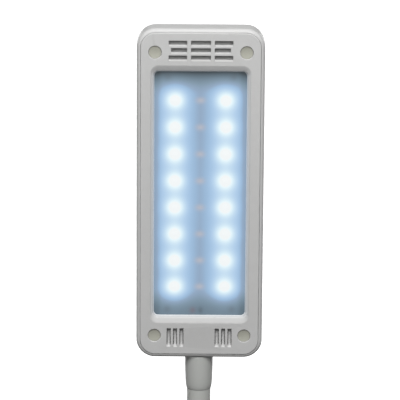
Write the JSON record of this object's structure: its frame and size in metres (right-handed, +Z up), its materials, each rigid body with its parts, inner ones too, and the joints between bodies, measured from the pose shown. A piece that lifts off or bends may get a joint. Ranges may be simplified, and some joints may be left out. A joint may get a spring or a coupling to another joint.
{
  "type": "clip on reading lamp",
  "caption": "Clip-on LED reading lamp: slim upright light panel with a recessed frosted window and vent slots, on a bendable gooseneck that rises from a sprung clip with push buttons",
  "frame": {"origin": "centre of the upper jaw pad's gripping face, so that a board held by the clip lies against z = 0", "axes": "+Z up along the neck, the lamp shines towards -Y and the clip opens towards -Y, X across the lamp"},
  "size_m": [0.06, 0.102, 0.5194],
  "materials": {
    "housing": "fine satin grain",
    "sleeve": "smooth matt silicone",
    "pad_rubber": "matt",
    "plug_rubber": "matt",
    "diffuser": "frosted",
    "board": "white solder mask",
    "steel": "zinc plated",
    "black_pvc": "smooth",
    "red_pvc": "smooth"
  },
  "bodies": {
    "clip_base": {"base_bottom_plate": "housing", "base_screw_left": "steel", "base_screw_right": "steel", "base_top_cover": "housing", "clip_spring": "steel", "control_board": "board", "neck_base_collar": "sleeve", "neck_base_nut": "steel", "neck_cable_1": "black_pvc", "neck_coil_1": "steel", "neck_sleeve_1": "sleeve", "pivot_pin": "steel", "pivot_retaining_ring": "steel", "upper_jaw_pad": "pad_rubber", "usb_c_port": "steel"},
    "lower_jaw": {"lower_jaw_lever": "housing", "lower_jaw_pad": "pad_rubber"},
    "power_button": {"power_button": "housing"},
    "colour_button": {"colour_button": "housing"},
    "neck_2": {"neck_sleeve_2": "sleeve", "neck_coil_2": "steel", "neck_cable_2": "black_pvc"},
    "neck_3": {"neck_sleeve_3": "sleeve", "neck_coil_3": "steel", "neck_cable_3": "black_pvc"},
    "neck_4": {"neck_sleeve_4": "sleeve", "neck_coil_4": "steel", "neck_cable_4": "black_pvc"},
    "neck_5": {"neck_sleeve_5": "sleeve", "neck_coil_5": "steel", "neck_cable_5": "black_pvc"},
    "neck_6": {"neck_sleeve_6": "sleeve", "neck_coil_6": "steel", "neck_cable_6": "black_pvc"},
    "neck_7": {"neck_sleeve_7": "sleeve", "neck_coil_7": "steel", "neck_cable_7": "black_pvc"},
    "head": {"bezel_screw_lower_left": "steel", "bezel_screw_lower_right": "steel", "bezel_screw_upper_left": "steel", "bezel_screw_upper_right": "steel", "black_lead": "black_pvc", "diffuser_lens": "diffuser", "head_front_bezel": "housing", "head_rear_shell": "housing", "led_board": "board", "led_board_screw_lower_left": "steel", "led_board_screw_lower_right": "steel", "led_board_screw_upper_left": "steel", "led_board_screw_upper_right": "steel", "neck_top_collar": "sleeve", "neck_top_nut": "steel", "red_lead": "red_pvc", "screw_cover_plug_lower_left": "plug_rubber", "screw_cover_plug_lower_right": "plug_rubber", "screw_cover_plug_upper_left": "plug_rubber", "screw_cover_plug_upper_right": "plug_rubber", "neck_sleeve_8": "sleeve", "neck_coil_8": "steel", "neck_cable_8": "black_pvc"}
  },
  "joints": [
    {"name": "neck_bend_1_fore_aft", "type": "hinge", "parent": "clip_base", "child": "neck_2", "pos_m": [0, 0.047, 0.05886], "axis": [1, 0, 0], "range_deg": [-35, 35]},
    {"name": "neck_bend_2_sideways", "type": "hinge", "parent": "neck_2", "child": "neck_3", "pos_m": [0, 0.047, 0.09657], "axis": [0, 1, 0], "range_deg": [-35, 35]},
    {"name": "neck_bend_3_fore_aft", "type": "hinge", "parent": "neck_3", "child": "neck_4", "pos_m": [0, 0.047, 0.13429], "axis": [1, 0, 0], "range_deg": [-35, 35]},
    {"name": "neck_bend_4_sideways", "type": "hinge", "parent": "neck_4", "child": "neck_5", "pos_m": [0, 0.047, 0.172], "axis": [0, 1, 0], "range_deg": [-35, 35]},
    {"name": "neck_bend_5_fore_aft", "type": "hinge", "parent": "neck_5", "child": "neck_6", "pos_m": [0, 0.047, 0.20971], "axis": [1, 0, 0], "range_deg": [-35, 35]},
    {"name": "neck_bend_6_sideways", "type": "hinge", "parent": "neck_6", "child": "neck_7", "pos_m": [0, 0.047, 0.24743], "axis": [0, 1, 0], "range_deg": [-35, 35]},
    {"name": "neck_bend_7_fore_aft", "type": "hinge", "parent": "neck_7", "child": "head", "pos_m": [0, 0.047, 0.28514], "axis": [1, 0, 0], "range_deg": [-35, 35]},
    {"name": "jaw_hinge", "type": "hinge", "parent": "clip_base", "child": "lower_jaw", "pos_m": [0, 0.035, -0.011], "axis": [1, 0, 0], "range_deg": [0, 38], "stiffness_Nm_per_rad": 0.4, "springref_deg": -51.57, "deforming": ["clip_spring"]},
    {"name": "power_button_press", "type": "slide", "parent": "clip_base", "child": "power_button", "axis": [0, 0, -1], "range_m": [0, 0.0008], "stiffness_N_per_m": 1500, "springref_m": -0.0003},
    {"name": "colour_button_press", "type": "slide", "parent": "clip_base", "child": "colour_button", "axis": [0, 0, -1], "range_m": [0, 0.0008], "stiffness_N_per_m": 1500, "springref_m": -0.0003}
  ]
}
